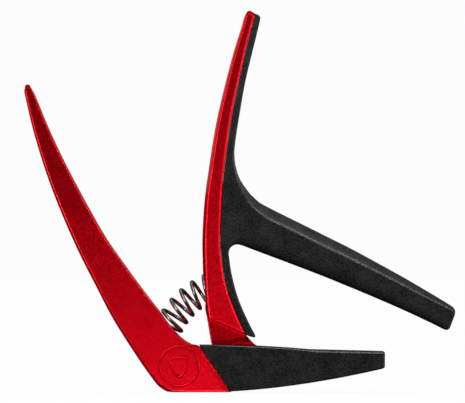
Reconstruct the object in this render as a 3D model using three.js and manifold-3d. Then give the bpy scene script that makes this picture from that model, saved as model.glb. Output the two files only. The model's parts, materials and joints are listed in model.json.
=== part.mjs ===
// Spring-clamp guitar capo, shown closed and standing on the flat of its elbow.
// Millimetres. X runs from the handles to the jaw tips, Y is the width, Z is up.
// Points of the side view are [x, z] pairs.

import * as THREE from 'three';
import { mergeVertices } from 'three/addons/utils/BufferGeometryUtils.js';
import Module from 'manifold-3d';

const wasm = await Module();
wasm.setup();

// ---------------------------------------------------------------- driving dimensions

const GAP = 0.3; // kept between pieces that touch
const RUNNING_GAP = 0.1; // radial, between turning pieces

const HINGE = [1.35, 10.5]; // the pin's axis
const PIN_RADIUS = 2;
const BUSH_WALL = 1;
const KNUCKLE_RADIUS = 6.2;
const KNUCKLE_HALF_WIDTH = 3.1;
const WASHER_THICKNESS = 0.5;
const CHEEK_RADIUS = 8.1;
const SLOT_HALF_WIDTH = KNUCKLE_HALF_WIDTH + WASHER_THICKNESS + 2 * GAP;

const HANDLE_HALF_WIDTH = 7.5;
const HANDLE_TIP_HALF_WIDTH = 5.6;
const HANDLE_CROWN = 0.4;
const HANDLE_FILLET = 0.7;
const LEVER_CROWN = 1.1; // the palm side is rounded across its width
const TONGUE_HALF_WIDTH = 5.8;
const TONGUE_TOP = 16.6; // between the sleeve's walls

const SLEEVE_HALF_WIDTH = 7.4;
const SLEEVE_WALL = 1.3;
const SLEEVE_FILLET = 0.6;
const SLEEVE_WINDOW_END = 9.4; // the pad starts here

const LINER_THICKNESS = 2.8;
const COVER_HALF_WIDTH = 7.2;
const CORE_HALF_WIDTH = 4.2;

const SPRING_ARC_RADIUS = 30.3; // about the hinge
const SPRING_RADIUS = 4.85; // to the middle of the wire
const SPRING_WIRE_RADIUS = 0.68;
const SPRING_TURNS = 7;
const SPRING_ANGLES = [159.5, 111.3]; // its ends, in degrees about the hinge
const SPRING_LEAN = 0.9; // degrees about the hinge by which a turn's outer side leads
const POCKET_RADIUS = 5.85;
const FRAME_POCKET = [161, 152]; // its floor and its face, in degrees about the hinge
const LEVER_POCKET = [108.2, 116.5];

const EMBLEM_CENTRE = [-22.1, 9.5];
const EMBLEM_RADII = [7.65, 6.7];
const EMBLEM_DEPTH = 0.3;
const PLECTRUM_SIZE = 3.4;

// Lower frame: the two edges of its side view, from the handle's tip to the sleeve.
const FRAME_INNER_EDGE = [
  [-76.9, 112.3], [-76.3, 111.6], [-74.2, 107.5], [-68.8, 94.4], [-61.4, 79.1], [-50.0, 58.3],
  [-41.6, 46.0], [-34.4, 36.2], [-28.7, 29.0], [-22.6, 21.4], [-20.2, 19.1], [-18.0, 17.7], [-16.5, 17.35],
  [-14.9, 17.2],
];
const FRAME_OUTER_EDGE = [
  [-77.9, 112.4], [-78.4, 111.4], [-77.8, 107.7], [-74.2, 93.2], [-68.1, 74.6], [-59.4, 54.0],
  [-51.4, 38.0], [-45.7, 27.1], [-37.2, 13.5], [-31.0, 4.7], [-28.5, 2.1], [-25.3, 0.45], [-20.5, 0], [-3.4, 0],
];

// Sleeve: its pad is straight from PAD_HEEL to PAD_TIP.
const SLEEVE_HEEL = [-14.5, 17.25];
const SLEEVE_TOE = [-2.9, 0.3];
const PAD_HEEL = [25.3, 15.6];
const PAD_TIP = [52.4, 14.9];
const SLEEVE_TIP = 53.1;

// Upper lever: the edges of its side view, from the tip to the step above the knuckle.
const LEVER_FRONT_EDGE = [
  [4.1, 139.4], [3.0, 138.3], [1.6, 134.2], [-2.2, 121.3], [-7.3, 99.4], [-10.5, 79.2], [-11.7, 70.1],
  [-12.4, 59.1], [-12.5, 51.8], [-12.1, 39.1], [-11.4, 29.9], [-10.8, 26.6],
];
const LEVER_BACK_EDGE = [
  [5.0, 138.7], [5.6, 137.4], [4.7, 134.2], [1.5, 121.3], [-3.1, 99.3], [-5.8, 79.2], [-6.5, 70.1],
  [-7.0, 59.1], [-6.9, 51.8], [-4.9, 39.1], [-1.4, 29.0], [2.3, 20.8],
];

// Neck arm: its upper edge and its underside, from the liner to the tip.
const ARM_UPPER_EDGE = [
  [-3.4, 88.0], [-1.8, 84.0], [0.2, 77.7], [3.1, 73.4], [7.7, 69.0], [13.9, 65.7], [25.1, 60.2],
  [38.0, 53.8], [54.6, 45.0], [73.5, 33.9], [77.6, 31.3], [78.8, 29.5],
];
const ARM_UNDERSIDE = [
  [-5.4, 50.3], [-3.9, 51.7], [-2.8, 53.2], [-1.0, 53.9], [1.8, 53.2], [8.5, 50.7], [20.0, 46.3],
  [33.0, 41.1], [46.2, 35.4], [66.2, 26.1], [75.2, 22.6], [76.9, 23.5],
];
const ARM_UPPER_CHAMFER = 3.3;
const ARM_LOWER_CHAMFER = 4.0;
const ARM_TIP_CHAMFER = 1.4;
const ARM_CORE_ROOT = [[-9.5, 79], [-9.5, 58]];
const ARM_CORE_BEND = [[11, 62.6], [11, 53.4]];
const ARM_CORE_TIP = [[68.5, 33.4], [67, 29.4]];

// ---------------------------------------------------------------- geometry helpers

const vector2 = ([x, z]) => new THREE.Vector2(x, z);
const point3 = ([x, z], y) => new THREE.Vector3(x, y, z);
const smoothEdge = (points) => new THREE.SplineCurve(points.map(vector2));
const mix = THREE.MathUtils.lerp;

// The point at an angle (degrees) and distance from the hinge.
function aroundHinge(degrees, radius) {
  const angle = THREE.MathUtils.degToRad(degrees);
  return [HINGE[0] + radius * Math.cos(angle), HINGE[1] + radius * Math.sin(angle)];
}

// A closed solid through rings of points that all have the same count.
function loft(rings) {
  const count = rings[0].length;
  const middle = (ring) => ring.reduce((sum, p) => sum.add(p), new THREE.Vector3()).divideScalar(count);
  const points = [...rings.flat(), middle(rings[0]), middle(rings.at(-1))];
  const first = points.length - 2;
  const lastRing = (rings.length - 1) * count;
  const faces = [];
  for (let i = 0; i < count; i += 1) {
    const next = (i + 1) % count;
    for (let start = 0; start < lastRing; start += count) {
      faces.push(start + i, start + next, start + count + next);
      faces.push(start + i, start + count + next, start + count + i);
    }
    faces.push(first, next, i);
    faces.push(first + 1, lastRing + i, lastRing + next);
  }
  const geometry = new THREE.BufferGeometry().setFromPoints(points);
  geometry.setIndex(faces);
  return geometry;
}

// A side-view shape pulled across the width, from -halfWidth to +halfWidth.
function slab(shape, halfWidth, fillet = 0, curveSegments = 12) {
  const geometry = new THREE.ExtrudeGeometry(shape, {
    depth: 2 * (halfWidth - fillet),
    bevelEnabled: fillet > 0,
    bevelThickness: fillet,
    bevelSize: fillet,
    bevelOffset: -fillet,
    bevelSegments: 2,
    curveSegments,
  });
  return geometry.translate(0, 0, fillet - halfWidth).rotateX(Math.PI / 2);
}

// A cylinder along Y, centred on a point of the side view.
function crossCylinder(centre, radius, halfWidth, segments = 48) {
  const geometry = new THREE.CylinderGeometry(radius, radius, 2 * halfWidth, segments);
  return geometry.translate(centre[0], 0, centre[1]);
}

function solid(geometry) {
  const bare = geometry.clone();
  bare.deleteAttribute('normal');
  bare.deleteAttribute('uv');
  const welded = mergeVertices(bare, 1e-4);
  const vertProperties = new Float32Array(welded.attributes.position.array);
  const triVerts = new Uint32Array(welded.index.array);
  return new wasm.Manifold(new wasm.Mesh({ numProp: 3, vertProperties, triVerts }));
}

function geometryOf(manifold) {
  const { vertProperties, triVerts } = manifold.getMesh();
  const geometry = new THREE.BufferGeometry();
  geometry.setAttribute('position', new THREE.BufferAttribute(vertProperties, 3));
  geometry.setIndex(new THREE.BufferAttribute(triVerts, 1));
  geometry.computeVertexNormals();
  return geometry;
}

// ---------------------------------------------------------------- sections

// One ring of a handle, between a point on each edge. The first edge's face is crowned.
function handleRing(front, back, halfWidth, crown) {
  const height = front.distanceTo(back);
  const along = back.clone().sub(front).divideScalar(height);
  const fillet = Math.min(HANDLE_FILLET, height / 4);
  const crownSteps = 8;
  const profile = [];
  for (let i = 0; i <= crownSteps; i += 1) {
    const across = mix(-1, 1, i / crownSteps);
    profile.push([-crown * (1 - across ** 2), across * (halfWidth - fillet)]);
  }
  profile.push([fillet * 0.3, halfWidth - fillet * 0.3], [fillet, halfWidth]);
  profile.push([height - fillet, halfWidth], [height - fillet * 0.3, halfWidth - fillet * 0.3]);
  profile.push([height, halfWidth - fillet], [height, fillet - halfWidth]);
  profile.push([height - fillet * 0.3, fillet * 0.3 - halfWidth], [height - fillet, -halfWidth]);
  profile.push([fillet, -halfWidth], [fillet * 0.3, fillet * 0.3 - halfWidth]);
  return profile.map(([a, y]) => new THREE.Vector3(front.x + along.x * a, y, front.y + along.y * a));
}

// The half width of a handle, at a share of its length from the tip: rounded there, then flaring.
function handleHalfWidth(share) {
  const roundedEnd = 0.05;
  const flareEnd = 0.4;
  const flare = mix(HANDLE_TIP_HALF_WIDTH, HANDLE_HALF_WIDTH, Math.min(1, share / flareEnd));
  const round = 1 - Math.min(1, share / roundedEnd);
  return flare * mix(0.62, 1, Math.sqrt(1 - round ** 2));
}

// A handle between its two edges, flattened where it would reach below the floor.
function handle(frontPoints, backPoints, crown, floor = -Infinity) {
  const front = smoothEdge(frontPoints);
  const back = smoothEdge(backPoints);
  const steps = 3 * (frontPoints.length - 1);
  const rings = [];
  for (let i = 0; i <= steps; i += 1) {
    const share = i / steps;
    const crownHere = crown * Math.min(1, i / 4);
    const ring = handleRing(front.getPoint(share), back.getPoint(share), handleHalfWidth(share), crownHere);
    rings.push(ring.map((p) => new THREE.Vector3(p.x, p.y, Math.max(floor, p.z))));
  }
  return loft(rings);
}

// One ring of the neck arm, with its four long edges cut back.
function armRing(upper, lower, halfWidth, upperChamfer, lowerChamfer) {
  const height = upper.distanceTo(lower);
  const along = lower.clone().sub(upper).divideScalar(height);
  const half = [
    [0, halfWidth - upperChamfer],
    [upperChamfer * 0.35, halfWidth - upperChamfer * 0.35],
    [upperChamfer, halfWidth],
    [height - lowerChamfer, halfWidth],
    [height - lowerChamfer * 0.35, halfWidth - lowerChamfer * 0.35],
    [height, halfWidth - lowerChamfer],
  ];
  const profile = [...half, ...half.map(([a, y]) => [a, -y]).reverse()];
  return profile.map(([a, y]) => new THREE.Vector3(upper.x + along.x * a, y, upper.y + along.y * a));
}

// ---------------------------------------------------------------- cutters

// A round blind pocket that follows the spring's axis, from its floor out past the face.
function springPocket([floorDegrees, faceDegrees]) {
  const floor = point3(aroundHinge(floorDegrees, SPRING_ARC_RADIUS), 0);
  const face = point3(aroundHinge(faceDegrees, SPRING_ARC_RADIUS), 0);
  const axis = face.sub(floor).normalize();
  const length = 3 * POCKET_RADIUS;
  const upright = new THREE.Vector3(0, 1, 0);
  const geometry = new THREE.CylinderGeometry(POCKET_RADIUS, POCKET_RADIUS, length, 32);
  geometry.applyQuaternion(new THREE.Quaternion().setFromUnitVectors(upright, axis));
  const centre = floor.addScaledVector(axis, length / 2);
  return geometry.translate(centre.x, centre.y, centre.z);
}

// The room that the knuckle sweeps through the tongue, open at the top.
function knuckleSlot() {
  const radius = KNUCKLE_RADIUS + GAP;
  const stopWall = HINGE[0] + radius;
  const openTop = TONGUE_TOP + 10;
  const shape = new THREE.Shape();
  shape.moveTo(stopWall, openTop);
  shape.lineTo(stopWall, HINGE[1]);
  shape.absarc(HINGE[0], HINGE[1], radius, 0, THREE.MathUtils.degToRad(-121), true);
  shape.lineTo(-12.9, 11.2);
  shape.lineTo(-17.9, 17.8);
  shape.lineTo(-18.6, openTop);
  return slab(shape, SLOT_HALF_WIDTH, 0, 24);
}

// A closed ring and, inside it, a plectrum, both sunk into the frame's near side.
function emblem() {
  const ring = new THREE.Shape();
  const hole = new THREE.Path();
  ring.absarc(...EMBLEM_CENTRE, EMBLEM_RADII[0], 0, 2 * Math.PI);
  hole.absarc(...EMBLEM_CENTRE, EMBLEM_RADII[1], 0, 2 * Math.PI);
  ring.holes.push(hole);
  const [x, z] = EMBLEM_CENTRE;
  const size = PLECTRUM_SIZE;
  const plectrum = new THREE.Shape();
  plectrum.moveTo(x, z - size * 1.15);
  plectrum.bezierCurveTo(x + size * 0.5, z - size, x + size, z, x + size, z + size * 0.55);
  plectrum.bezierCurveTo(x + size * 0.9, z + size * 1.1, x - size * 0.9, z + size * 1.1, x - size, z + size * 0.55);
  plectrum.bezierCurveTo(x - size, z, x - size * 0.5, z - size, x, z - size * 1.15);
  const place = (shape) => slab(shape, EMBLEM_DEPTH, 0, 16).translate(0, -HANDLE_HALF_WIDTH, 0);
  return solid(place(ring)).add(solid(place(plectrum)));
}

// ---------------------------------------------------------------- lower frame

// The sleeve's side view, drawn in by inset.
function sleeveShape(inset, heel = SLEEVE_HEEL, toe = SLEEVE_TOE) {
  const shape = new THREE.Shape();
  const tip = SLEEVE_TIP - inset;
  shape.moveTo(heel[0], heel[1] - inset);
  shape.lineTo(toe[0], toe[1] + inset);
  shape.quadraticCurveTo(22, 1.6 + inset, tip - 1.4, 8.4 + inset);
  shape.quadraticCurveTo(tip, 8.7 + inset, tip, 9.6 + inset);
  shape.lineTo(tip, PAD_TIP[1] - inset - 0.6);
  shape.lineTo(tip - 0.7, PAD_TIP[1] - inset);
  shape.lineTo(PAD_HEEL[0], PAD_HEEL[1] - inset);
  shape.quadraticCurveTo(10, 17 - inset, heel[0] + 8, heel[1] - inset);
  return shape;
}

function lowerFrame() {
  const body = solid(handle(FRAME_OUTER_EDGE, FRAME_INNER_EDGE, HANDLE_CROWN, 0));
  const reach = 4; // how far the tongue runs back into the elbow
  const heel = [SLEEVE_HEEL[0] - reach, SLEEVE_HEEL[1]];
  const toe = [SLEEVE_TOE[0] - reach, SLEEVE_TOE[1]];
  const tongue = slab(sleeveShape(SLEEVE_WALL + GAP, heel, toe), TONGUE_HALF_WIDTH, 0.5);
  const tableEnd = SLEEVE_WINDOW_END - GAP;
  const table = new THREE.BoxGeometry(tableEnd - heel[0], 2 * TONGUE_HALF_WIDTH, TONGUE_TOP - HINGE[1]);
  table.translate((tableEnd + heel[0]) / 2, 0, (TONGUE_TOP + HINGE[1]) / 2);
  const cheeks = crossCylinder(HINGE, CHEEK_RADIUS, TONGUE_HALF_WIDTH);
  return body
    .add(solid(tongue))
    .add(solid(table))
    .add(solid(cheeks))
    .subtract(solid(knuckleSlot()))
    .subtract(solid(crossCylinder(HINGE, PIN_RADIUS + RUNNING_GAP, 2 * TONGUE_HALF_WIDTH)))
    .subtract(solid(springPocket(FRAME_POCKET)))
    .subtract(emblem());
}

function stringPadSleeve() {
  const outer = slab(sleeveShape(0), SLEEVE_HALF_WIDTH, SLEEVE_FILLET);
  const heel = [SLEEVE_HEEL[0] - 6, SLEEVE_HEEL[1]];
  const toe = [SLEEVE_TOE[0] - 6, SLEEVE_TOE[1]];
  const innerHalfWidth = SLEEVE_HALF_WIDTH - SLEEVE_WALL;
  const cavity = slab(sleeveShape(SLEEVE_WALL, heel, toe), innerHalfWidth);
  const windowLength = SLEEVE_WINDOW_END + 20;
  const window = new THREE.BoxGeometry(windowLength, 2 * innerHalfWidth, 12);
  window.translate(SLEEVE_WINDOW_END - windowLength / 2, 0, HINGE[1] + 6);
  return solid(outer).subtract(solid(cavity)).subtract(solid(window));
}

// ---------------------------------------------------------------- upper lever

// The narrow knuckle, which turns between the cheeks and carries the bush.
function knuckle() {
  const shape = new THREE.Shape();
  shape.moveTo(2.2, 20.9);
  shape.lineTo(6.2, 16.6);
  shape.lineTo(HINGE[0] + KNUCKLE_RADIUS, 15.1);
  shape.lineTo(HINGE[0] + KNUCKLE_RADIUS, HINGE[1]);
  shape.absarc(HINGE[0], HINGE[1], KNUCKLE_RADIUS, 0, THREE.MathUtils.degToRad(-149), true);
  shape.lineTo(-10.4, 17.9);
  shape.lineTo(-12.0, 27.4);
  shape.lineTo(-9, 30);
  shape.lineTo(-3, 29);
  return slab(shape, KNUCKLE_HALF_WIDTH, 0, 24);
}

// The blade inside the neck arm, grown by a clearance for the cover's hollow.
function armCore(clearance) {
  const stations = [ARM_CORE_ROOT, ARM_CORE_BEND, ARM_CORE_TIP];
  const chamfer = 1.2;
  const rings = stations.map(([upper, lower], i) => {
    const past = i === stations.length - 1 ? clearance : 0;
    const top = new THREE.Vector2(upper[0] + past, upper[1] + clearance);
    const bottom = new THREE.Vector2(lower[0] + past, lower[1] - clearance);
    return armRing(top, bottom, CORE_HALF_WIDTH + clearance, chamfer, chamfer);
  });
  return loft(rings.reverse());
}

function upperLever() {
  return solid(handle(LEVER_FRONT_EDGE, LEVER_BACK_EDGE, LEVER_CROWN))
    .add(solid(knuckle()))
    .add(solid(armCore(0)))
    .subtract(solid(crossCylinder(HINGE, PIN_RADIUS + BUSH_WALL + 2 * RUNNING_GAP, 10)))
    .subtract(solid(springPocket(LEVER_POCKET)));
}

// ---------------------------------------------------------------- neck arm cover

// The strip on the lever's back, from its tip to the knuckle.
function liner() {
  const back = smoothEdge(LEVER_BACK_EDGE);
  const steps = 3 * (LEVER_BACK_EDGE.length - 1);
  const rings = [];
  for (let i = 3; i <= steps; i += 1) {
    const share = i / steps;
    const direction = back.getTangent(share);
    const outwards = new THREE.Vector2(-direction.y, direction.x);
    const edge = back.getPoint(share);
    const thickness = i === 3 ? LINER_THICKNESS * 0.75 : LINER_THICKNESS;
    const inner = edge.clone().addScaledVector(outwards, GAP);
    const outer = edge.clone().addScaledVector(outwards, thickness);
    const halfWidth = handleHalfWidth(share) - HANDLE_HALF_WIDTH + COVER_HALF_WIDTH;
    rings.push(handleRing(inner, outer, halfWidth, 0));
  }
  return loft(rings);
}

function arm() {
  const upper = smoothEdge(ARM_UPPER_EDGE);
  const lower = smoothEdge(ARM_UNDERSIDE);
  const steps = 3 * (ARM_UPPER_EDGE.length - 1);
  const rings = [];
  for (let i = 0; i <= steps; i += 1) {
    const share = i / steps;
    const root = Math.min(1, share / 0.45);
    const end = Math.max(0, (share - 0.6) / 0.4);
    const upperChamfer = mix(mix(0.5, ARM_UPPER_CHAMFER, root), ARM_TIP_CHAMFER, end);
    const lowerChamfer = mix(mix(0.5, ARM_LOWER_CHAMFER, root), ARM_TIP_CHAMFER, end);
    const halfWidth = COVER_HALF_WIDTH - 0.9 * Math.max(0, (share - 0.92) / 0.08);
    rings.push(armRing(upper.getPoint(share), lower.getPoint(share), halfWidth, upperChamfer, lowerChamfer));
  }
  return loft(rings.reverse());
}

function neckArmCover() {
  return solid(liner()).add(solid(arm())).subtract(solid(armCore(GAP)));
}

// ---------------------------------------------------------------- hinge and spring

function pivotPin() {
  return solid(crossCylinder(HINGE, PIN_RADIUS, TONGUE_HALF_WIDTH));
}

function pivotBush() {
  const outer = crossCylinder(HINGE, PIN_RADIUS + BUSH_WALL + RUNNING_GAP, KNUCKLE_HALF_WIDTH);
  return solid(outer).subtract(solid(crossCylinder(HINGE, PIN_RADIUS + RUNNING_GAP, 10)));
}

// side is -1 for the washer at the front and 1 for the one at the back.
function thrustWasher(side) {
  const ring = solid(crossCylinder(HINGE, KNUCKLE_RADIUS - 1, WASHER_THICKNESS / 2));
  const bore = solid(crossCylinder(HINGE, PIN_RADIUS + RUNNING_GAP, WASHER_THICKNESS));
  const offset = KNUCKLE_HALF_WIDTH + GAP + WASHER_THICKNESS / 2;
  return ring.subtract(bore).translate([0, side * offset, 0]);
}

// A coil whose own axis is an arc about the hinge. Its end turns lie close together.
class CoilCurve extends THREE.Curve {
  getPoint(t, target = new THREE.Vector3()) {
    const closedTurns = 0.75;
    const turn = t * SPRING_TURNS;
    const openTurns = SPRING_TURNS - 2 * closedTurns;
    const wireShare = 0.05; // of the coil's length, for one closed turn
    const rise = THREE.MathUtils.clamp((turn - closedTurns) / openTurns, 0, 1);
    const fromStart = Math.min(turn, closedTurns);
    const fromEnd = Math.min(SPRING_TURNS - turn, closedTurns);
    const ends = closedTurns * wireShare;
    const share = fromStart * wireShare + rise * (1 - 2 * ends) + (closedTurns - fromEnd) * wireShare;
    const phase = 2 * Math.PI * turn;
    const degrees = mix(SPRING_ANGLES[0], SPRING_ANGLES[1], share) - SPRING_LEAN * Math.cos(phase);
    const [x, z] = aroundHinge(degrees, SPRING_ARC_RADIUS + SPRING_RADIUS * Math.cos(phase));
    return target.set(x, SPRING_RADIUS * Math.sin(phase), z);
  }
}

function returnSpring() {
  const section = new THREE.Shape();
  section.absarc(0, 0, SPRING_WIRE_RADIUS, 0, 2 * Math.PI);
  const steps = 16 * SPRING_TURNS;
  const options = { steps, curveSegments: 8, extrudePath: new CoilCurve() };
  return solid(new THREE.ExtrudeGeometry(section, options));
}

// ---------------------------------------------------------------- assembly

const redPaint = { color: 0xb8001a, metalness: 0.7, roughness: 0.35 };
const blackRubber = { color: 0x1f1f21, metalness: 0, roughness: 0.75 };
const steel = { color: 0xb9bcc0, metalness: 1, roughness: 0.25 };
const bronze = { color: 0xa9783f, metalness: 1, roughness: 0.4 };
const nylon = { color: 0xe6e2d6, metalness: 0, roughness: 0.6 };

const capo = new THREE.Group();
capo.name = 'guitar_capo';

function addPiece(name, manifold, finish) {
  const mesh = new THREE.Mesh(geometryOf(manifold), new THREE.MeshStandardMaterial(finish));
  mesh.name = name;
  capo.add(mesh);
}

addPiece('lower_frame', lowerFrame(), redPaint);
addPiece('string_pad_sleeve', stringPadSleeve(), blackRubber);
addPiece('upper_lever', upperLever(), redPaint);
addPiece('neck_arm_cover', neckArmCover(), blackRubber);
addPiece('return_spring', returnSpring(), steel);
addPiece('pivot_pin', pivotPin(), steel);
addPiece('pivot_bush', pivotBush(), bronze);
addPiece('thrust_washer_front', thrustWasher(-1), nylon);
addPiece('thrust_washer_back', thrustWasher(1), nylon);

export default capo;
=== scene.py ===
"""A spring-clamp guitar capo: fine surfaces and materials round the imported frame.

The side view is the XZ plane, and the near side is at -Y. Outlines are in millimetres, as [x, z], and
become metres in mesh_object().
"""

import json
import math

import bmesh
import bpy
import numpy as np
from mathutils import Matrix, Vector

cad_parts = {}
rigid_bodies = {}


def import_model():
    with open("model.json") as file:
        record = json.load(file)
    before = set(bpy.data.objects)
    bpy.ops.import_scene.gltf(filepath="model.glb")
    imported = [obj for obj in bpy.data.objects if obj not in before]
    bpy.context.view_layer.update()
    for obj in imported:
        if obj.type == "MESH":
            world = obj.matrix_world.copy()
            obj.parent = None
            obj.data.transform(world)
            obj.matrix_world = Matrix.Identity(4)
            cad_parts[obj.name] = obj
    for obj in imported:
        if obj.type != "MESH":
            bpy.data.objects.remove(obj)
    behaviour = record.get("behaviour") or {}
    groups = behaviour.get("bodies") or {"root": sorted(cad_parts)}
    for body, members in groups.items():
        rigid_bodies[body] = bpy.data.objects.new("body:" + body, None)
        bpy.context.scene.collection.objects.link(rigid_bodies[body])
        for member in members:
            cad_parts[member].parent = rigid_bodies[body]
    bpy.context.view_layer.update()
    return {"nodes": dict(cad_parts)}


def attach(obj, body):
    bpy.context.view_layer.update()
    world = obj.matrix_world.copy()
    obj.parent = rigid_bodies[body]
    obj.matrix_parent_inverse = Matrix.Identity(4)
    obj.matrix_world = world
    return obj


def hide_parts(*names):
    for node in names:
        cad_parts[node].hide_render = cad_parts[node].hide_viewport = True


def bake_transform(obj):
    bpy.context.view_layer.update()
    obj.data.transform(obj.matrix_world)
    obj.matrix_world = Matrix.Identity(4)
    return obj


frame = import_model()

# ---------------------------------------------------------------- driving dimensions, millimetres

MM = 0.001
GAP = 0.3  # between the casting and what slides over it
CONTACT_GAP = 0.04  # between pieces that are bonded together

HINGE = np.array([1.35, 10.5])
PIN_BORE_RADIUS = 2.1
BUSH_SEAT_RADIUS = 3.2
KNUCKLE_RADIUS = 6.2
KNUCKLE_HALF_WIDTH = 3.1
NECK_BASE = 15.0  # the height where the knuckle starts to taper
NECK_TAPER = 0.4  # the share of its width that it loses over NECK_TAPER_HEIGHT
NECK_TAPER_HEIGHT = 12
CHEEK_RADIUS = 8.1
SLOT_HALF_WIDTH = 4.2

HANDLE_HALF_WIDTH = 7.5
HANDLE_TIP_HALF_WIDTH = 5.6
FLARE_LENGTH = 52  # from a handle's tip to its full width
TIP_ROUNDING = 2.0
CROWN_RUN = 3  # from a handle's tip to its faces' full crown
INNER_EDGE_INSET = 0.5  # room for the crown of the frame's inner face
SUPPORT = 0.12  # of flat beside a rounding, so that smooth shading stays out of the face
TONGUE_HALF_WIDTH = 5.8
TONGUE_TOP = 16.6
THROUGH = 10  # a bore cutter's half width, more than any casting's

SLEEVE_HALF_WIDTH = 7.4
SLEEVE_WALL = 1.3
SLEEVE_WINDOW_END = 9.4
SLEEVE_TIP_ROUNDING = 0.9
SLEEVE_HEEL = [-14.82, 17.25]
SLEEVE_TOE = [-3.3, 0.25]
SLEEVE_TIP = 53.1
PAD_HEEL = [25.3, 15.6]
PAD_TIP_HEIGHT = 14.9

COVER_HALF_WIDTH = 7.2
CORE_HALF_WIDTH = 4.2
CORE_ROUNDING = 1.2
CORE_STATIONS = [[[-9.5, 79], [-9.5, 58]], [[11, 62.6], [11, 53.4]], [[68.5, 33.4], [67, 29.4]]]

SPRING_ARC_RADIUS = 30.3
SPRING_RADIUS = 4.85
SPRING_WIRE_RADIUS = 0.68
SPRING_TURNS = 7
SPRING_ANGLES = [159.5, 111.3]
SPRING_LEAN = 0.9  # degrees by which a turn's outer side leads
POCKET_RADIUS = 5.85
FRAME_POCKET = [161, 152]
LEVER_POCKET = [108.2, 116.5]

EMBLEM_CENTRE = np.array([-22.1, 9.5])
EMBLEM_RADIUS = 7.2
GROOVE_RADIUS = 0.55
GROOVE_DEPTH = 0.46
PLECTRUM_SIZE = 3.4

FRAME_INNER_EDGE = [
    [-76.9, 112.3], [-76.3, 111.6], [-74.2, 107.5], [-68.8, 94.4], [-61.4, 79.1], [-50.0, 58.3],
    [-41.6, 46.0], [-34.4, 36.2], [-28.7, 29.0], [-22.6, 21.4], [-20.2, 19.1], [-18.0, 17.7],
    [-16.5, 17.35], [-14.9, 17.2],
]
FRAME_OUTER_EDGE = [
    [-77.9, 112.4], [-78.4, 111.4], [-77.8, 107.7], [-74.2, 93.2], [-68.1, 74.6], [-59.4, 54.0],
    [-51.4, 38.0], [-45.7, 27.1], [-37.2, 13.5], [-31.0, 4.7], [-28.5, 2.1], [-25.3, 0.45], [-20.5, 0],
    [-3.4, 0],
]
LEVER_FRONT_EDGE = [
    [3.8, 139.35], [2.75, 138.6], [1.75, 134.2], [-2.1, 121.3], [-7.3, 99.4], [-10.5, 79.2],
    [-11.7, 70.1], [-12.4, 59.1], [-12.5, 51.8], [-12.1, 39.1], [-11.4, 29.9], [-10.8, 26.6],
]
LEVER_BACK_EDGE = [
    [5.4, 138.5], [5.65, 137.4], [4.7, 134.2], [1.5, 121.3], [-3.1, 99.3], [-5.8, 79.2], [-6.5, 70.1],
    [-7.0, 59.1], [-6.9, 51.8], [-4.9, 39.1], [-1.4, 29.0], [2.3, 20.8],
]

# The cover's outline past the liner's foot: x, z, then the bevel's reach along the face, its depth
# and the angle of its ridge in degrees.
COVER_EDGE = [
    [3.0, 20.6, 0.3, 0.3, 0], [5.2, 19.95, 0.3, 0.3, 0], [5.8, 20.2, 0.35, 0.4, 0],
    [5.6, 21.0, 0.7, 0.7, 0], [3.4, 25.2, 0.8, 0.8, 0], [-0.4, 33.9, 0.8, 0.8, 0],
    [-2.8, 42.7, 0.8, 0.8, 0], [-3.75, 48.8, 0.8, 0.8, 0], [-3.95, 51.0, 0.8, 0.8, 0],
    [-3.4, 52.6, 0.9, 0.9, 0], [-2.2, 53.6, 1.2, 1.1, 0], [-0.9, 53.9, 1.8, 1.4, 0],
    [0.7, 53.6, 2.6, 1.8, 0], [3.4, 52.6, 3.6, 2.2, 0], [6.3, 51.5, 4.1, 2.4, 0],
    [18.0, 47.1, 4.4, 2.6, 0], [29.5, 42.7, 4.2, 2.5, 0], [40.3, 38.3, 4.0, 2.4, 0],
    [50.8, 33.9, 3.6, 2.3, 0], [60.6, 29.6, 3.2, 2.2, 0], [70.0, 25.2, 2.6, 2.0, 0],
    [73.8, 23.3, 2.0, 1.6, 0], [75.2, 22.7, 1.4, 1.2, 0], [76.2, 22.85, 1.1, 1.0, 0],
    [76.9, 23.7, 1.0, 1.0, 0], [78.0, 26.6, 1.0, 1.0, 0], [78.75, 28.8, 1.0, 1.0, 0],
    [78.6, 30.1, 1.1, 1.0, 20], [77.5, 31.4, 1.3, 1.2, 38], [73.5, 33.9, 1.7, 1.8, 38],
    [66.1, 38.3, 2.2, 2.4, 38], [58.5, 42.7, 2.6, 2.8, 38], [42.4, 51.5, 3.2, 3.2, 38],
    [33.9, 55.8, 3.4, 3.3, 38], [25.1, 60.2, 3.4, 3.3, 38], [16.2, 64.6, 3.5, 3.3, 38],
    [12.4, 66.5, 3.6, 3.2, 38], [7.7, 69.0, 2.9, 2.6, 38], [5.1, 71.2, 2.4, 2.2, 38],
    [3.1, 73.4, 1.9, 1.8, 38], [0.2, 77.7, 1.2, 1.2, 36], [-1.3, 82.1, 0.9, 1.0, 34],
    [-1.85, 86.5, 0.8, 0.9, 30], [-1.6, 90.9, 0.8, 0.9, 20], [-0.3, 99.6, 0.8, 0.8, 10],
    [2.0, 112.8, 0.8, 0.8, 0], [4.5, 123.5, 0.8, 0.8, 0], [6.4, 131.2, 0.8, 0.8, 0],
    [7.3, 135.0, 0.8, 0.8, 0], [7.6, 136.4, 0.8, 0.8, 0], [7.4, 137.3, 0.6, 0.6, 0],
    [6.7, 137.9, 0.5, 0.5, 0], [5.58, 138.25, 0.25, 0.25, 0],
]

# ---------------------------------------------------------------- curves in the side view


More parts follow.
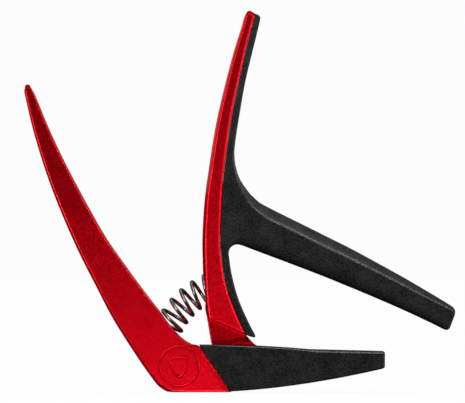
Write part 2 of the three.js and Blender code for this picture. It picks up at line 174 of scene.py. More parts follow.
def spline(points, shares):
    """Points at shares (0 to 1) of the smooth curve through points. Extra columns are carried along."""
    points = np.asarray(points, float)
    at = np.clip(np.atleast_1d(shares), 0, 1) * (len(points) - 1)
    i = np.minimum(at.astype(int), len(points) - 2)
    t = (at - i)[:, None]
    before, a = points[np.maximum(i - 1, 0)], points[i]
    b, after = points[i + 1], points[np.minimum(i + 2, len(points) - 1)]
    slope_a, slope_b = (b - before) / 2, (after - a) / 2
    cubic = 2 * a - 2 * b + slope_a + slope_b
    square = 3 * b - 3 * a - 2 * slope_a - slope_b
    return cubic * t**3 + square * t**2 + slope_a * t + a


def bezier(*controls, steps=12):
    """The curve of two, three or four control points, without its last point."""
    points = [np.tile(np.asarray(c, float), (steps, 1)) for c in controls]
    t = np.linspace(0, 1, steps, endpoint=False)[:, None]
    while len(points) > 1:
        points = [a * (1 - t) + b * t for a, b in zip(points, points[1:])]
    return points[0]


def arc(centre, radius, start, end, steps=48):
    """Points on an arc, from start to end in degrees."""
    angles = np.radians(np.linspace(start, end, steps))
    return np.asarray(centre) + radius * np.column_stack([np.cos(angles), np.sin(angles)])


def around_hinge(degrees, radius):
    return arc(HINGE, radius, degrees, degrees, 1)[0]


def lengths_along(points):
    return np.concatenate([[0], np.cumsum(np.linalg.norm(np.diff(points, axis=0), axis=1))])


def inward_normals(outline):
    """At each point of a counter-clockwise outline, the mitred direction into it."""
    edges = np.roll(outline, -1, axis=0) - outline
    edges /= np.linalg.norm(edges, axis=1)[:, None]
    left = np.column_stack([-edges[:, 1], edges[:, 0]])
    both = left + np.roll(left, 1, axis=0)
    both /= np.linalg.norm(both, axis=1)[:, None]
    least = 0.6  # keeps the mitre of a sharp corner short
    mitre = np.maximum((both * left).sum(axis=1), least)
    return both / mitre[:, None]


def drawn_in(edge, distance):
    """An edge moved to its right, as seen along it. The first point stays, and the second moves half."""
    tangents = np.gradient(np.asarray(edge, float), axis=0)
    tangents /= np.linalg.norm(tangents, axis=1)[:, None]
    share = np.minimum(np.arange(len(edge)) / 2, 1)[:, None]
    return edge + distance * share * np.column_stack([tangents[:, 1], -tangents[:, 0]])


def rectangle(left, right, low, high):
    return [[left, low], [right, low], [right, high], [left, high]]


# ---------------------------------------------------------------- meshes


def mesh_object(name, vertices, faces):
    """A new object from millimetre vertices, with its faces pointing out."""
    merge_distance = 1e-7  # metres
    mesh = bpy.data.meshes.new(name)
    mesh.from_pydata((np.asarray(vertices) * MM).tolist(), [], faces)
    work = bmesh.new()
    work.from_mesh(mesh)
    bmesh.ops.remove_doubles(work, verts=work.verts, dist=merge_distance)
    bmesh.ops.recalc_face_normals(work, faces=work.faces)
    work.to_mesh(mesh)
    work.free()
    piece = bpy.data.objects.new(name, mesh)
    bpy.context.scene.collection.objects.link(piece)
    return piece


def loft(name, rings):
    """A closed body through rings of the same count of points."""
    rings = np.asarray(rings)
    count, size = rings.shape[:2]
    vertices = [*rings.reshape(-1, 3), rings[0].mean(axis=0), rings[-1].mean(axis=0)]
    first, last = len(vertices) - 2, len(vertices) - 1
    base = (count - 1) * size
    faces = []
    for i in range(size):
        j = (i + 1) % size
        faces += [(k + i, k + j, k + size + j, k + size + i) for k in range(0, base, size)]
        faces += [(first, j, i), (last, base + i, base + j)]
    return mesh_object(name, vertices, faces)


def prism(name, outline, half_width):
    """A side-view outline pulled across the width."""
    outline = np.asarray(outline, float)
    count = len(outline)
    vertices = [(x, y, z) for y in (-half_width, half_width) for x, z in outline]
    walls = [(i, (i + 1) % count, count + (i + 1) % count, count + i) for i in range(count)]
    return mesh_object(name, vertices, [*walls, range(count), range(2 * count - 1, count - 1, -1)])


def moulding(name, outline, half_width, narrowing=None):
    """A side-view outline pulled across the width, its edges bevelled on both sides.

    outline has x, z, the bevel's reach along the face, its depth and its ridge's angle in each row.
    narrowing gives the share of the width at a height."""
    ridge_rounding = 0.12  # the share of the bevel's curve that rounds its ridge
    bevel_steps = 9
    points, (reach, depth, ridge) = outline[:, :2], outline[:, 2:].T
    inwards = inward_normals(points)
    rise = reach * np.tan(np.radians(ridge))

    def along_bevel(t):
        return reach * (1 - t) ** 2, 2 * t * (1 - t) * rise + t**2 * depth

    first_inset, first_drop = along_bevel(ridge_rounding)
    rounding = reach - first_inset
    profile = [(reach + rounding + SUPPORT, 0 * reach), (reach + rounding, 0 * reach)]
    for t in (1 / 3, 2 / 3):
        inset = (reach + rounding) * (1 - t) ** 2 + 2 * t * (1 - t) * reach + t**2 * first_inset
        profile.append((inset, t**2 * first_drop))
    profile += [along_bevel(t) for t in np.linspace(ridge_rounding, 1, bevel_steps)]
    half = [(points + inwards * inset[:, None], half_width - drop) for inset, drop in profile]
    sides = [(at, -y) for at, y in half] + [(at, y) for at, y in reversed(half)]
    rings = [np.column_stack([at[:, 0], y, at[:, 1]]) for at, y in sides]
    if narrowing is not None:
        for ring in rings:
            ring[:, 1] *= narrowing(ring[:, 2])
    size, base = len(points), (len(rings) - 1) * len(points)
    faces = [range(size), range(base + size - 1, base - 1, -1)]
    for i in range(size):
        j = (i + 1) % size
        faces += [(k + i, k + size + i, k + size + j, k + j) for k in range(0, base, size)]
    return mesh_object(name, np.concatenate(rings), faces)


def cross_cylinder(name, centre, radius, half_width, segments=96):
    outline = arc(centre, radius, 0, 360, segments + 1)[:-1]
    return prism(name, outline, half_width)


def bar(name, path, radius, segments=32):
    """A tube of one radius along a path of points."""
    path = np.asarray(path, float)
    tangents = np.gradient(path, axis=0)
    tangents /= np.linalg.norm(tangents, axis=1)[:, None]
    side = np.cross(tangents[0], [0, 1, 0])
    nearly_along = 0.1
    if np.linalg.norm(side) < nearly_along:
        side = np.cross(tangents[0], [1, 0, 0])
    rings = []
    for point, tangent in zip(path, tangents):
        side = side - tangent * (side @ tangent)
        side /= np.linalg.norm(side)
        other = np.cross(tangent, side)
        turn = np.linspace(0, 2 * np.pi, segments, endpoint=False)[:, None]
        rings.append(point + radius * (np.cos(turn) * side + np.sin(turn) * other))
    return loft(name, rings)


def combine(body, tool, operation):
    """Joins tool to body, or cuts it away, and removes tool."""
    modifier = body.modifiers.new(operation, "BOOLEAN")
    modifier.operation = operation
    modifier.solver = "MANIFOLD"
    modifier.object = tool
    bpy.context.view_layer.update()
    made = bpy.data.meshes.new_from_object(body.evaluated_get(bpy.context.evaluated_depsgraph_get()))
    body.modifiers.clear()
    old, body.data = body.data, made
    bpy.data.meshes.remove(old)
    bpy.data.objects.remove(tool)
    return body


def smooth(piece, sharp_degrees=32):
    piece.data.polygons.foreach_set("use_smooth", [True] * len(piece.data.polygons))
    piece.data.set_sharp_from_angle(angle=math.radians(sharp_degrees))
    return piece


# ---------------------------------------------------------------- sections of the castings


def face_half(half_width, crown, reach, drop, turned, height):
    """Half of one face of a casting and the rounded edge beside it, from the middle outwards.

    reach is the rounding's size along the side, and drop its size across the width. turned is for the
    face at the far end of height. The rounding starts where its slope is the crown's, which a few rounds
    of the loop find."""
    rounds, crown_points, turn_points = 4, 12, 9
    slope = 0.0
    for _ in range(rounds):
        start = half_width - drop * (1 - math.sin(math.atan(math.tan(slope) * drop / reach)))
        slope = math.atan(2 * crown * start / half_width**2)
    begin = math.atan(math.tan(slope) * drop / reach)
    y = np.linspace(0, start, crown_points)
    a = -crown * (1 - (y / half_width) ** 2)
    turn = np.linspace(begin, math.pi / 2, turn_points)[1:]
    centre = a[-1] + reach * math.cos(begin)
    points = np.concatenate([
        np.column_stack([a, y]),
        np.column_stack([centre - reach * np.cos(turn), half_width - drop * (1 - np.sin(turn))]),
    ])
    return np.column_stack([height - points[:, 0], points[:, 1]])[::-1] if turned else points


def section(height, half_width, front, back):
    """One ring of a casting in its own plane: distance from the front edge, and y.

    front and back are each the face's crown and its rounding's reach and drop."""
    limit = height / 3
    ends = []
    for (crown, reach, drop), turned in ((front, False), (back, True)):
        ends.append(face_half(half_width, crown, min(reach, limit), min(drop, limit), turned, height))
    support = min(SUPPORT, height / 20)
    low, high = ends[0][-1, 0], ends[1][0, 0]
    side = [low + support, *np.linspace(low, high, 6)[1:-1], high - support]
    wall = np.column_stack([side, np.full(len(side), half_width)])
    half = np.concatenate([ends[0], wall, ends[1]])
    return np.concatenate([half, (half * [1, -1])[-2:0:-1]])


def rounded_off(distance, reach, drop):
    """How far a face falls back at a distance from an end that is rounded over reach."""
    return drop * (1 - math.sqrt(1 - (1 - min(distance / reach, 1)) ** 2))


def stations(total, first=TIP_ROUNDING, last=TIP_ROUNDING, step=1.0):
    """Distances from 0 to total, close together over the two rounded ends."""
    quarter = 1 - np.cos(np.linspace(0, np.pi / 2, 10))
    middle = np.linspace(first, total - last, round((total - first - last) / step))
    return np.concatenate([first * quarter[:-1], middle, total - last * quarter[-2::-1]])


def handle(name, front_edge, back_edge, front, back, end_rounding, floor=None):
    """A handle through the two edges of its side view, from its rounded tip.

    front and back are as in section(), end_rounding is the other end's reach and drop, and floor is the
    height that the handle is cut off at."""
    dense = np.linspace(0, 1, 2000)
    middle = (spline(front_edge, dense) + spline(back_edge, dense)) / 2
    travelled = lengths_along(middle)
    total = travelled[-1]
    rings = []
    for distance in stations(total, last=end_rounding[0]):
        share = np.interp(distance, travelled, dense)
        at, to = spline(front_edge, share)[0], spline(back_edge, share)[0]
        height = np.linalg.norm(to - at)
        flare = min(1, distance / FLARE_LENGTH)
        half_width = HANDLE_TIP_HALF_WIDTH + (HANDLE_HALF_WIDTH - HANDLE_TIP_HALF_WIDTH) * flare
        half_width -= rounded_off(distance, TIP_ROUNDING, TIP_ROUNDING)
        half_width -= rounded_off(total - distance, *end_rounding)
        growth = min(1, distance / CROWN_RUN) * half_width / HANDLE_HALF_WIDTH
        grown = [(crown * growth, *rounding) for crown, *rounding in (front, back)]
        ring = section(height, half_width, *grown)
        flat = at + (to - at) / height * ring[:, :1]
        z = flat[:, 1] if floor is None else np.maximum(flat[:, 1], floor)
        rings.append(np.column_stack([flat[:, 0], ring[:, 1], z]))
    return loft(name, rings)


# ---------------------------------------------------------------- cutters


def spring_pocket(floor_degrees, face_degrees):
    """A spring seat's cutter, from its floor out past the casting's face."""
    floor, face = (around_hinge(angle, SPRING_ARC_RADIUS) for angle in (floor_degrees, face_degrees))
    out = (face - floor) / np.linalg.norm(face - floor) * 3 * POCKET_RADIUS
    ends = [[floor[0], 0, floor[1]], [floor[0] + out[0], 0, floor[1] + out[1]]]
    return bar("pocket", ends, POCKET_RADIUS, 64)


def knuckle_slot():
    """The cutter for the slot between the cheeks, wider at the left, where the lever's heel swings."""
    radius = KNUCKLE_RADIUS + GAP
    wall, open_top = HINGE[0] + radius, TONGUE_TOP + 10
    round_floor = arc(HINGE, radius, 0, -121)
    heel_room = [[-12.9, 11.2], [-17.9, 17.8], [-18.6, open_top]]
    return prism("slot", [[wall, open_top], *round_floor, *heel_room], SLOT_HALF_WIDTH)


def groove(path):
    """A round-bottomed groove's cutter, along a closed path on the near face."""
    segments = 24
    lift = HANDLE_HALF_WIDTH + GROOVE_RADIUS - GROOVE_DEPTH
    path = np.column_stack([path[:, 0], np.full(len(path), -lift), path[:, 1]])
    tangents = np.roll(path, -1, axis=0) - np.roll(path, 1, axis=0)
    tangents /= np.linalg.norm(tangents, axis=1)[:, None]
    across = np.cross(tangents, [0, 1, 0])
    inward = np.array([0, 1, 0])
    turn = np.linspace(0, 2 * np.pi, segments, endpoint=False)
    rings = [path + GROOVE_RADIUS * (np.cos(a) * across + np.sin(a) * inward) for a in turn]
    count, size = len(rings), len(path)
    faces = []
    for r in range(count):
        low, high = r * size, (r + 1) % count * size
        faces += [(low + i, low + (i + 1) % size, high + (i + 1) % size, high + i) for i in range(size)]
    return mesh_object("groove", np.concatenate(rings), faces)


def plectrum():
    """A plectrum's outline: a rounded triangle, point down."""
    x, z = EMBLEM_CENTRE
    size = PLECTRUM_SIZE
    point = [x, z - size * 1.15]
    right, left = [x + size, z + size * 0.55], [x - size, z + size * 0.55]
    crest = z + size * 1.1
    return np.concatenate([
        bezier(point, [x + size * 0.5, z - size], [x + size, z], right),
        bezier(right, [x + size * 0.9, crest], [x - size * 0.9, crest], left),
        bezier(left, [x - size, z], [x - size * 0.5, z - size], point),
    ])


def core_blade(clearance):
    """The blade inside the neck arm, grown by a clearance for the cover's hollow."""
    edge = (0, CORE_ROUNDING, CORE_ROUNDING)
    rings = []
    for i, (upper, lower) in enumerate(CORE_STATIONS):
        past = clearance if i == len(CORE_STATIONS) - 1 else 0
        top = np.array([upper[0] + past, upper[1] + clearance])
        bottom = np.array([lower[0] + past, lower[1] - clearance])
        height = np.linalg.norm(bottom - top)
        ring = section(height, CORE_HALF_WIDTH + clearance, edge, edge)
        flat = top + (bottom - top) / height * ring[:, :1]
        rings.append(np.column_stack([flat[:, 0], ring[:, 1], flat[:, 1]]))
    return loft("core", rings)


# ---------------------------------------------------------------- pieces


def sleeve_outline(inset, heel=SLEEVE_HEEL, toe=SLEEVE_TOE):
    """The sleeve's side view, drawn in by inset, counter-clockwise from its heel.

    Gives the points and the count of points in each of its eight stretches."""
    rounding = SLEEVE_TIP_ROUNDING
    tip, pad = SLEEVE_TIP - inset, PAD_TIP_HEIGHT - inset
    heel, toe = [heel[0], heel[1] - inset], [toe[0], toe[1] + inset]
    belly, chin, lip = [22, 1.6 + inset], [tip - 1.4, 8.4 + inset], [tip, 9.6 + inset]
    pad_heel, step = [PAD_HEEL[0], PAD_HEEL[1] - inset], [heel[0] + 8, heel[1]]
    stretches = [
        bezier(heel, toe, steps=16),
        bezier(toe, belly, chin, steps=60),
        bezier(chin, [tip, 8.7 + inset], lip, steps=6),
        bezier(lip, [tip, pad - rounding], steps=10),
        bezier([tip, pad - rounding], [tip, pad], [tip - rounding, pad], steps=6),
        bezier([tip - rounding, pad], pad_heel, steps=24),
        bezier(pad_heel, [10, 17 - inset], step, steps=24),
        bezier(step, heel, steps=10),
    ]
    return np.concatenate(stretches), [len(stretch) for stretch in stretches]


def frame_casting():
    """The frame's handle and elbow, with the tongue and the cheeks.

    The joined bodies differ slightly in width, so that no two of their sides lie in one plane."""
    outer = (0.7, 0.8, 0.7)
    inner = (0.6, 0.6, 0.6)
    inner_edge = drawn_in(FRAME_INNER_EDGE, INNER_EDGE_INSET)
    body = handle("frame_casting", FRAME_OUTER_EDGE, inner_edge, outer, inner, (1.2, 0.5), floor=0)
    root = 4  # how far the tongue runs back into the elbow
    heel, toe = ([x - root, z] for x, z in (SLEEVE_HEEL, SLEEVE_TOE))
    tongue, _ = sleeve_outline(SLEEVE_WALL + GAP, heel, toe)
    table = rectangle(heel[0], SLEEVE_WINDOW_END - GAP, HINGE[1], TONGUE_TOP)
    combine(body, prism("tongue", tongue, TONGUE_HALF_WIDTH), "UNION")
    combine(body, prism("table", table, TONGUE_HALF_WIDTH - 0.02), "UNION")
    cheek = arc(HINGE, CHEEK_RADIUS, 0, 360, 97)[:-1]
    bevel = np.tile([0.9, 0.7, 0], (len(cheek), 1))
    cheeks = moulding("cheeks", np.column_stack([cheek, bevel]), TONGUE_HALF_WIDTH - 0.01)
    combine(body, cheeks, "UNION")
    combine(body, knuckle_slot(), "DIFFERENCE")
    combine(body, cross_cylinder("bore", HINGE, PIN_BORE_RADIUS, THROUGH), "DIFFERENCE")
    combine(body, spring_pocket(*FRAME_POCKET), "DIFFERENCE")
    combine(body, groove(arc(EMBLEM_CENTRE, EMBLEM_RADIUS, 0, 360, 161)[:-1]), "DIFFERENCE")
    combine(body, groove(plectrum()), "DIFFERENCE")
    return smooth(body)


def sleeve_skin():
    """The sleeve: wide bevels on the pad's side and at the tip, and small ones elsewhere."""
    points, counts = sleeve_outline(0)
    bevels = [  # of each stretch: reach, depth and ridge angle, as in moulding()
        (0.12, 0.12, 0), (0.6, 0.6, 0), (1.0, 0.8, 0), (1.5, 0.9, 0),
        (1.0, 0.8, 0), (0.9, 0.7, 25), (0.6, 0.5, 20), (0.4, 0.4, 0),
    ]
    rows = np.repeat(bevels, counts, axis=0)
    beside = 2  # points on each side that a bevel is averaged over
    kernel = np.ones(2 * beside + 1) / (2 * beside + 1)
    wrapped = np.concatenate([rows[-beside:], rows, rows[:beside]])
    rows = np.column_stack([np.convolve(column, kernel, "valid") for column in wrapped.T])
    body = moulding("sleeve_skin", np.column_stack([points, rows]), SLEEVE_HALF_WIDTH)
    inner = SLEEVE_HALF_WIDTH - SLEEVE_WALL
    past_heel = 6  # so that the cavity is open at the elbow
    heel, toe = ([x - past_heel, z] for x, z in (SLEEVE_HEEL, SLEEVE_TOE))
    cavity, _ = sleeve_outline(SLEEVE_WALL, heel, toe)
    combine(body, prism("cavity", cavity, inner), "DIFFERENCE")
    length, height = 30, 12  # of the window, which is open past the sleeve's heel and top
    window = rectangle(SLEEVE_WINDOW_END - length, SLEEVE_WINDOW_END, HINGE[1], HINGE[1] + height)
    combine(body, prism("window", window, inner - 0.02), "DIFFERENCE")
    return smooth(body)


def knuckle_taper(z):
    """The width of the knuckle's neck at a height, as a share of its full width."""
    return 1 - NECK_TAPER * (z - NECK_BASE) / NECK_TAPER_HEIGHT


def knuckle_foot():
    """The round of the knuckle, between the cheeks."""
    overlap = 0.3  # with the knuckle's neck
    sweep = arc(HINGE, KNUCKLE_RADIUS, -149, 0)
    top = NECK_BASE + overlap
    outline = np.array([[-8.8, top], *sweep, [HINGE[0] + KNUCKLE_RADIUS, top]])
    bevel = np.tile([0.3, 0.3, 0], (len(outline), 1))
    return moulding("knuckle_foot", np.column_stack([outline, bevel]), KNUCKLE_HALF_WIDTH)


def knuckle_neck():
    """The tapering rise from the knuckle's round into the handle."""
    right = HINGE[0] + KNUCKLE_RADIUS
    neck = [  # x, z and the bevel's size
        [-8.64, NECK_BASE, 0.1], [right, NECK_BASE, 0.1], [right, 15.1, 0.9], [6.2, 16.6, 0.9],
        [2.2, 20.9, 0.9], [-3, 29, 0.9], [-9, 30, 0.9], [-12.0, 27.4, 0.9], [-10.4, 17.9, 0.9],
    ]
    rows = [[x, z, bevel, bevel, 0] for x, z, bevel in neck]
    return moulding("knuckle_neck", np.array(rows), KNUCKLE_HALF_WIDTH, knuckle_taper)


def step_fillet(side):
    """The flat fillet between the handle's lower end and the knuckle's face, on one side."""
    height, depth, overlap = 0.8, 0.45, 0.6
    left, right = np.array([-11.6, 26.95]), np.array([2.0, 20.93])  # along the handle's lower end
    along = (right - left) / np.linalg.norm(right - left)
    down = np.array([along[1], -along[0]])
    rings = []
    for share in np.linspace(0, 1, 12):
        at = left + (right - left) * share
        face = KNUCKLE_HALF_WIDTH * knuckle_taper(at[1] - height)
        front = [[0, face + depth], [height, face]]
        back = [[height, face - overlap], [-overlap, face - overlap], [-overlap, face + depth]]
        ring = np.array(front + back)
        flat = at + down * ring[:, :1]
        rings.append(np.column_stack([flat[:, 0], side * ring[:, 1], flat[:, 1]]))
    return loft("fillet", rings)


def lever_casting():
    """The lever's handle with its knuckle, and the core of the neck arm."""
    palm = (1.1, 1.1, 1.0)
    back = (0, 1.1, 0.8)
    body = handle("lever_casting", LEVER_FRONT_EDGE, LEVER_BACK_EDGE, palm, back, (1.1, 0.8))
    combine(body, knuckle_foot(), "UNION")
    combine(body, knuckle_neck(), "UNION")
    for side in (-1, 1):
        combine(body, step_fillet(side), "UNION")
    combine(body, core_blade(0), "UNION")
    combine(body, cross_cylinder("bore", HINGE, BUSH_SEAT_RADIUS, THROUGH), "DIFFERENCE")
    combine(body, spring_pocket(*LEVER_POCKET), "DIFFERENCE")
    return smooth(body)


def arm_skin():
    """The liner on the lever's back and the neck arm, moulded as one."""
    spacing = 0.6  # between the outline's points
    dense = np.linspace(0, 1, 4000)
    second_point = 1 / (len(LEVER_BACK_EDGE) - 1)
    shares = np.linspace(second_point, 1, 160)
    contact = spline(LEVER_BACK_EDGE, shares)
    tangents = np.gradient(contact, axis=0)
    tangents /= np.linalg.norm(tangents, axis=1)[:, None]
    contact = contact + CONTACT_GAP * np.column_stack([-tangents[:, 1], tangents[:, 0]])
    edge = np.tile([0.25, 0.25, 0], (len(contact), 1))
    rest = np.asarray(COVER_EDGE, float)
    travelled = lengths_along(spline(rest[:, :2], dense))
    spaced = np.linspace(0, travelled[-1], round(travelled[-1] / spacing))
    even = np.interp(spaced, travelled, dense)
    around = spline(rest[:, :2], even)
    knots = np.linspace(0, 1, len(rest))
    bevels = np.column_stack([np.interp(even, knots, column) for column in rest[:, 2:].T])
    outline = np.concatenate([np.column_stack([contact, edge]), np.column_stack([around, bevels])])
    full = COVER_HALF_WIDTH
    tip_share = (HANDLE_TIP_HALF_WIDTH - HANDLE_HALF_WIDTH + full) / full
    tip_height = LEVER_FRONT_EDGE[0][1]

    def narrowing(z):
        return np.interp(z, [tip_height - FLARE_LENGTH, tip_height], [1, tip_share])

    body = moulding("arm_skin", outline, full, narrowing)
    combine(body, core_blade(GAP), "DIFFERENCE")
    return smooth(body)


def spring_coil():
    """The coil about an arc round the hinge, its end turns closed."""
    closed = 0.75  # turns at each end
    closed_share = 0.05  # of the coil's length, for each closed turn
    steps_per_turn = 56
    turns = np.linspace(0, SPRING_TURNS, int(SPRING_TURNS * steps_per_turn))
    rise = np.clip((turns - closed) / (SPRING_TURNS - 2 * closed), 0, 1)
    from_start = np.minimum(turns, closed)
    from_end = np.minimum(SPRING_TURNS - turns, closed)
    share = from_start * closed_share + rise * (1 - 2 * closed * closed_share)
    share = share + (closed - from_end) * closed_share
    phase = 2 * np.pi * turns
    lean = SPRING_LEAN * np.cos(phase)
    angles = np.radians(SPRING_ANGLES[0] + (SPRING_ANGLES[1] - SPRING_ANGLES[0]) * share - lean)
    radius = SPRING_ARC_RADIUS + SPRING_RADIUS * np.cos(phase)
    x, z = HINGE[0] + radius * np.cos(angles), HINGE[1] + radius * np.sin(angles)
    path = np.column_stack([x, SPRING_RADIUS * np.sin(phase), z])
    return smooth(bar("spring_coil", path, SPRING_WIRE_RADIUS, 18))


# ---------------------------------------------------------------- materials


class Nodes:
    """A material's node tree, with short calls to add to it."""

    def __init__(self, name):
        self.material = bpy.data.materials.new(name)
        self.material.use_nodes = True
        self.tree = self.material.node_tree
        self.shader = self.tree.nodes["Principled BSDF"]
        self.place = self.add("ShaderNodeTexCoord").outputs["Object"]

    def add(self, kind, **settings):
        node = self.tree.nodes.new(kind)
        for key, value in settings.items():
            setattr(node, key, value)
        return node

    def link(self, source, target):
        self.tree.links.new(source, target)

    def noise(self, size_mm, detail=2.0):
        """Noise whose features are about size_mm across."""
        node = self.add("ShaderNodeTexNoise")
        node.inputs["Scale"].default_value = 1 / (size_mm * MM)
        node.inputs["Detail"].default_value = detail
        self.link(self.place, node.inputs["Vector"])
        return node.outputs["Fac"]

    def ramp(self, source, low, high, start=0.35, end=0.65):
        """source mapped from start..end to low..high."""
        node = self.add("ShaderNodeMapRange")
        node.inputs["From Min"].default_value = start
        node.inputs["From Max"].default_value = end
        node.inputs["To Min"].default_value = low
        node.inputs["To Max"].default_value = high
        self.link(source, node.inputs["Value"])
        return node.outputs["Result"]

    def blend_colour(self, factor, low, high):
        node = self.add("ShaderNodeMix", data_type="RGBA")
        node.inputs["A"].default_value = (*low, 1)
        node.inputs["B"].default_value = (*high, 1)
        self.link(factor, node.inputs["Factor"])
        return node.outputs["Result"]

    def sum(self, first, second, share):
        """first plus share of second."""
        node = self.add("ShaderNodeMath", operation="MULTIPLY_ADD")
        node.inputs[1].default_value = share
        self.link(second, node.inputs[0])
        self.link(first, node.inputs[2])
        return node.outputs["Value"]

    def bump(self, height, depth_mm):
        node = self.add("ShaderNodeBump")
        node.inputs["Strength"].default_value = 1.0
        node.inputs["Distance"].default_value = depth_mm * MM
        self.link(height, node.inputs["Height"])
        self.link(node.outputs["Normal"], self.shader.inputs["Normal"])

    def fix(self, socket, value):
        """Sets one of the shader's own sockets to a constant."""
        self.shader.inputs[socket].default_value = value

    def base_colour(self, factor, low, high):
        self.link(self.blend_colour(factor, low, high), self.shader.inputs["Base Color"])

    def roughness(self, source, low, high):
        self.link(self.ramp(source, low, high), self.shader.inputs["Roughness"])


def red_paint():
    n = Nodes("red_paint")
    n.fix("Metallic", 1.0)
    n.fix("Specular Tint", (1.0, 0.02, 0.05, 1))  # keeps the glancing edges red
    n.fix("Coat Weight", 0.1)
    n.fix("Coat Roughness", 0.16)
    flake, cloud = n.noise(0.6, 4.0), n.noise(9, 3.0)
    shade = n.sum(n.ramp(flake, 0.0, 0.75, 0.3, 0.7), n.ramp(cloud, 0.0, 1.0), 0.25)
    n.base_colour(shade, (0.46, 0.0014, 0.006), (0.74, 0.0023, 0.012))
    n.roughness(flake, 0.40, 0.48)
    n.bump(n.sum(flake, n.noise(1.6, 1.0), 2.0), 0.004)
    return n.material


def black_rubber():
    n = Nodes("black_rubber")
    grain, cloud = n.noise(0.7, 4.0), n.noise(6, 3.0)
    shade = n.sum(n.ramp(grain, 0.0, 0.8, 0.3, 0.7), n.ramp(cloud, 0.0, 1.0), 0.2)
    n.base_colour(shade, (0.002, 0.002, 0.0022), (0.028, 0.028, 0.0285))
    n.roughness(cloud, 0.30, 0.38)
    n.fix("Specular IOR Level", 0.4)
    n.bump(grain, 0.12)
    return n.material


def spring_steel():
    n = Nodes("spring_steel")
    n.fix("Metallic", 1.0)
    drawn, cloud = n.noise(0.12, 2.0), n.noise(2.5, 2.0)
    n.base_colour(cloud, (0.44, 0.44, 0.45), (0.58, 0.58, 0.59))
    n.roughness(drawn, 0.14, 0.26)
    n.bump(drawn, 0.002)
    return n.material


def bush_bronze():
    n = Nodes("bush_bronze")
    n.fix("Metallic", 1.0)
    pores, cloud = n.noise(0.15, 3.0), n.noise(2, 2.0)
    n.base_colour(cloud, (0.50, 0.30, 0.13), (0.66, 0.44, 0.22))
    n.roughness(pores, 0.35, 0.6)
    n.bump(pores, 0.01)
    return n.material


def washer_nylon():
    n = Nodes("washer_nylon")
    cloud, fine = n.noise(1.5, 2.0), n.noise(0.1, 2.0)
    n.base_colour(cloud, (0.70, 0.67, 0.58), (0.84, 0.82, 0.75))
    n.roughness(fine, 0.42, 0.58)
    n.bump(fine, 0.004)
    return n.material


# ---------------------------------------------------------------- the object


def place(piece, body, node, material):
    """Gives a piece its material and its place in the frame. A piece without a body is left unattached.
    """
    piece.data.materials.clear()
    piece.data.materials.append(material)
    if body:
        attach(piece, body)
    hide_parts(node)
    return piece


def build_capo():
    red, rubber, steel = red_paint(), black_rubber(), spring_steel()
    place(frame_casting(), "frame", "lower_frame", red)
    place(sleeve_skin(), "frame", "string_pad_sleeve", rubber)
    place(lever_casting(), "lever", "upper_lever", red)
    place(arm_skin(), "lever", "neck_arm_cover", rubber)
    coil = place(spring_coil(), None, "return_spring", steel)
    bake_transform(coil)
    finishes = {
        "pivot_pin": steel, "pivot_bush": bush_bronze(),
        "thrust_washer_front": washer_nylon(), "thrust_washer_back": washer_nylon(),
    }
    for node, material in finishes.items():
        mesh = frame["nodes"][node].data
        mesh.materials.clear()
        mesh.materials.append(material)


# ---------------------------------------------------------------- studio


def pale_floor():
    """A pale floor that gives off most of its own light, so that its shadows stay faint."""
    size, level = 6.0, -0.0002  # metres; just below what stands on it
    mesh = bpy.data.meshes.new("studio_floor")
    corners = rectangle(-size, size, -size, size)
    mesh.from_pydata([(x, y, level) for x, y in corners], [], [(0, 1, 2, 3)])
    plane = bpy.data.objects.new("studio_floor", mesh)
    bpy.context.scene.collection.objects.link(plane)
    n = Nodes("studio_floor")
    n.base_colour(n.noise(300), (0.10, 0.10, 0.10), (0.11, 0.11, 0.11))
    n.fix("Roughness", 1.0)
    n.fix("Specular IOR Level", 0.0)
    n.fix("Emission Color", (1, 1, 1, 1))
    n.fix("Emission Strength", 0.93)
    mesh.materials.append(n.material)
    plane.visible_shadow = False
    plane.visible_glossy = False
    plane.visible_diffuse = False


def world():
    """White for the camera. On the object it is soft light from above, with a dim front to reflect."""
    made = bpy.data.worlds.new("studio")
    bpy.context.scene.world = made
    made.use_nodes = True
    tree = made.node_tree
    tree.nodes.clear()
    rays = tree.nodes.new("ShaderNodeLightPath")
    direction = tree.nodes.new("ShaderNodeTexCoord")
    height = tree.nodes.new("ShaderNodeSeparateXYZ")
    tree.links.new(direction.outputs["Generated"], height.inputs["Vector"])

    def by_height(low, high, start, end):
        level = tree.nodes.new("ShaderNodeMapRange")
        for key, value in {"From Min": start, "From Max": end, "To Min": low, "To Max": high}.items():
            level.inputs[key].default_value = value
        tree.links.new(height.outputs["Z"], level.inputs["Value"])
        return level.outputs["Result"]

    def choose(ray, otherwise, then):
        pick = tree.nodes.new("ShaderNodeMix")
        tree.links.new(rays.outputs[ray], pick.inputs["Factor"])
        for socket, value in (("A", otherwise), ("B", then)):
            if isinstance(value, float):
                pick.inputs[socket].default_value = value
            else:
                tree.links.new(value, pick.inputs[socket])
        return pick.outputs["Result"]

    soft = by_height(0.05, 0.6, -0.5, 1.0)
    mirrored = by_height(0.02, 0.35, 0.3, 1.0)
    backdrop = 0.975
    light = choose("Is Camera Ray", choose("Is Glossy Ray", soft, mirrored), backdrop)
    background = tree.nodes.new("ShaderNodeBackground")
    background.inputs["Color"].default_value = (1, 1, 1, 1)
    tree.links.new(light, background.inputs["Strength"])
    out = tree.nodes.new("ShaderNodeOutputWorld")
    tree.links.new(background.outputs["Background"], out.inputs["Surface"])


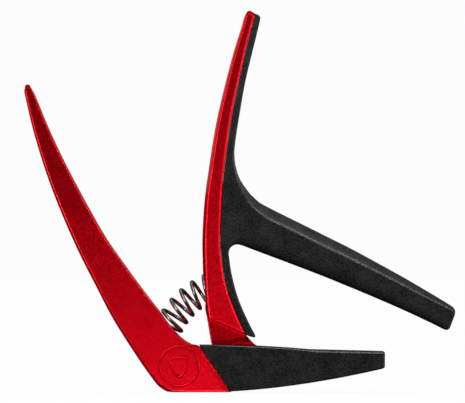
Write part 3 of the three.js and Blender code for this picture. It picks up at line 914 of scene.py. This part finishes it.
def softbox(name, position, target, size, power, only=None):
    """A rectangular light at position, aimed at target. Sizes are in metres, and power is in watts.

    only lists the pieces that it lights, if not all."""
    data = bpy.data.lights.new(name, "AREA")
    data.shape = "RECTANGLE"
    data.size, data.size_y = size
    data.energy = power
    lamp = bpy.data.objects.new(name, data)
    lamp.location = position
    aim = np.asarray(target, float) - np.asarray(position, float)
    lamp.rotation_euler = Vector(aim).to_track_quat("-Z", "Y").to_euler()
    lamp.visible_camera = False
    bpy.context.scene.collection.objects.link(lamp)
    if only is not None:
        lit = bpy.data.collections.new(name + "_lights")
        for piece in only:
            lit.objects.link(piece)
        lamp.light_linking.receiver_collection = lit


def studio():
    """A pale studio. Most lights are linked to the pieces whose faces or edges they are there for."""
    pale_floor()
    world()
    pieces = bpy.data.objects
    lower, lever, spring = [pieces["frame_casting"]], [pieces["lever_casting"]], [pieces["spring_coil"]]
    castings, padding = lower + lever, [pieces["sleeve_skin"], pieces["arm_skin"]]

    # What the lights are aimed at, and the places that two pieces' own lights share.
    middle, hinge, waist, elbow = (0.0, 0.0, 0.06), (0, 0, 0.02), (0, 0, 0.10), (-0.022, 0, 0.01)
    top, low_front, right_front = (0.1, -0.35, 0.6), (0.06, -0.28, -0.12), (0.30, -0.35, 0.14)
    softbox("top_box", top, middle, (0.5, 0.3), 0.45)
    for only, top_power, low_power, right_power in ((lower, 0.35, 0.58, 0.12), (lever, 0.6, 0.66, 0.5)):
        name = only[0].name
        softbox(name + "_top_box", top, middle, (0.5, 0.3), top_power, only)
        softbox(name + "_low_front_box", low_front, hinge, (0.2, 0.08), low_power, only)
        softbox(name + "_right_front_box", right_front, waist, (0.1, 0.12), right_power, only)

    lights = [  # name, position, target, size, power and the pieces that it lights
        ("elbow_box", (-0.02, -0.15, -0.06), elbow, (0.05, 0.05), 0.04, lower),
        ("right_strip", (0.5, -0.1, 0.10), middle, (0.3, 0.5), 1.5, lever),
        ("upper_right_box", (0.35, -0.12, 0.42), middle, (0.2, 0.2), 0.6, lever),
        ("inner_edge_strip", (0.45, -0.16, 0.26), middle, (0.03, 0.3), 1.4, lower),
        ("back_right_box", (0.3, 0.9, 0.3), middle, (0.5, 0.5), 0.7, lower),
        ("outer_edge_strip", (-0.5, -0.1, 0.12), middle, (0.14, 0.5), 1.5, lower),
        ("palm_strip", (-0.5, -0.16, 0.12), middle, (0.05, 0.5), 1.9, lever),
        ("left_front_strip", (-0.40, -0.27, -0.06), hinge, (0.05, 0.12), 0.7, castings),
        ("spring_box", (-0.3, -0.45, 0.15), middle, (0.2, 0.2), 0.4, spring),
        ("back_box", (-0.3, 0.7, 0.35), middle, (0.5, 0.5), 1.0, castings + padding),
        ("ridge_strip", (0.1, -0.5, 0.45), middle, (0.5, 0.04), 2.6, padding),
        ("side_box", (0.6, -0.1, 0.15), middle, (0.4, 0.4), 1.3, padding),
    ]
    for light in lights:
        softbox(*light)
    view = bpy.context.scene.view_settings
    view.view_transform = "Standard"
    view.look = "None"


def camera():
    """Level and square to the near side, far enough away to look nearly flat."""
    distance, width_seen = 4.0, 0.16974  # metres to the near side, and across the picture there
    sideways, height = -0.00259, 0.06962
    data = bpy.data.cameras.new("camera")
    data.sensor_width = 36
    data.lens = data.sensor_width * distance / width_seen
    eye = bpy.data.objects.new("camera", data)
    eye.location = (sideways, -distance - HANDLE_HALF_WIDTH * MM, height)
    eye.rotation_euler = (math.pi / 2, 0, 0)
    bpy.context.scene.collection.objects.link(eye)
    bpy.context.scene.camera = eye


build_capo()
studio()
camera()
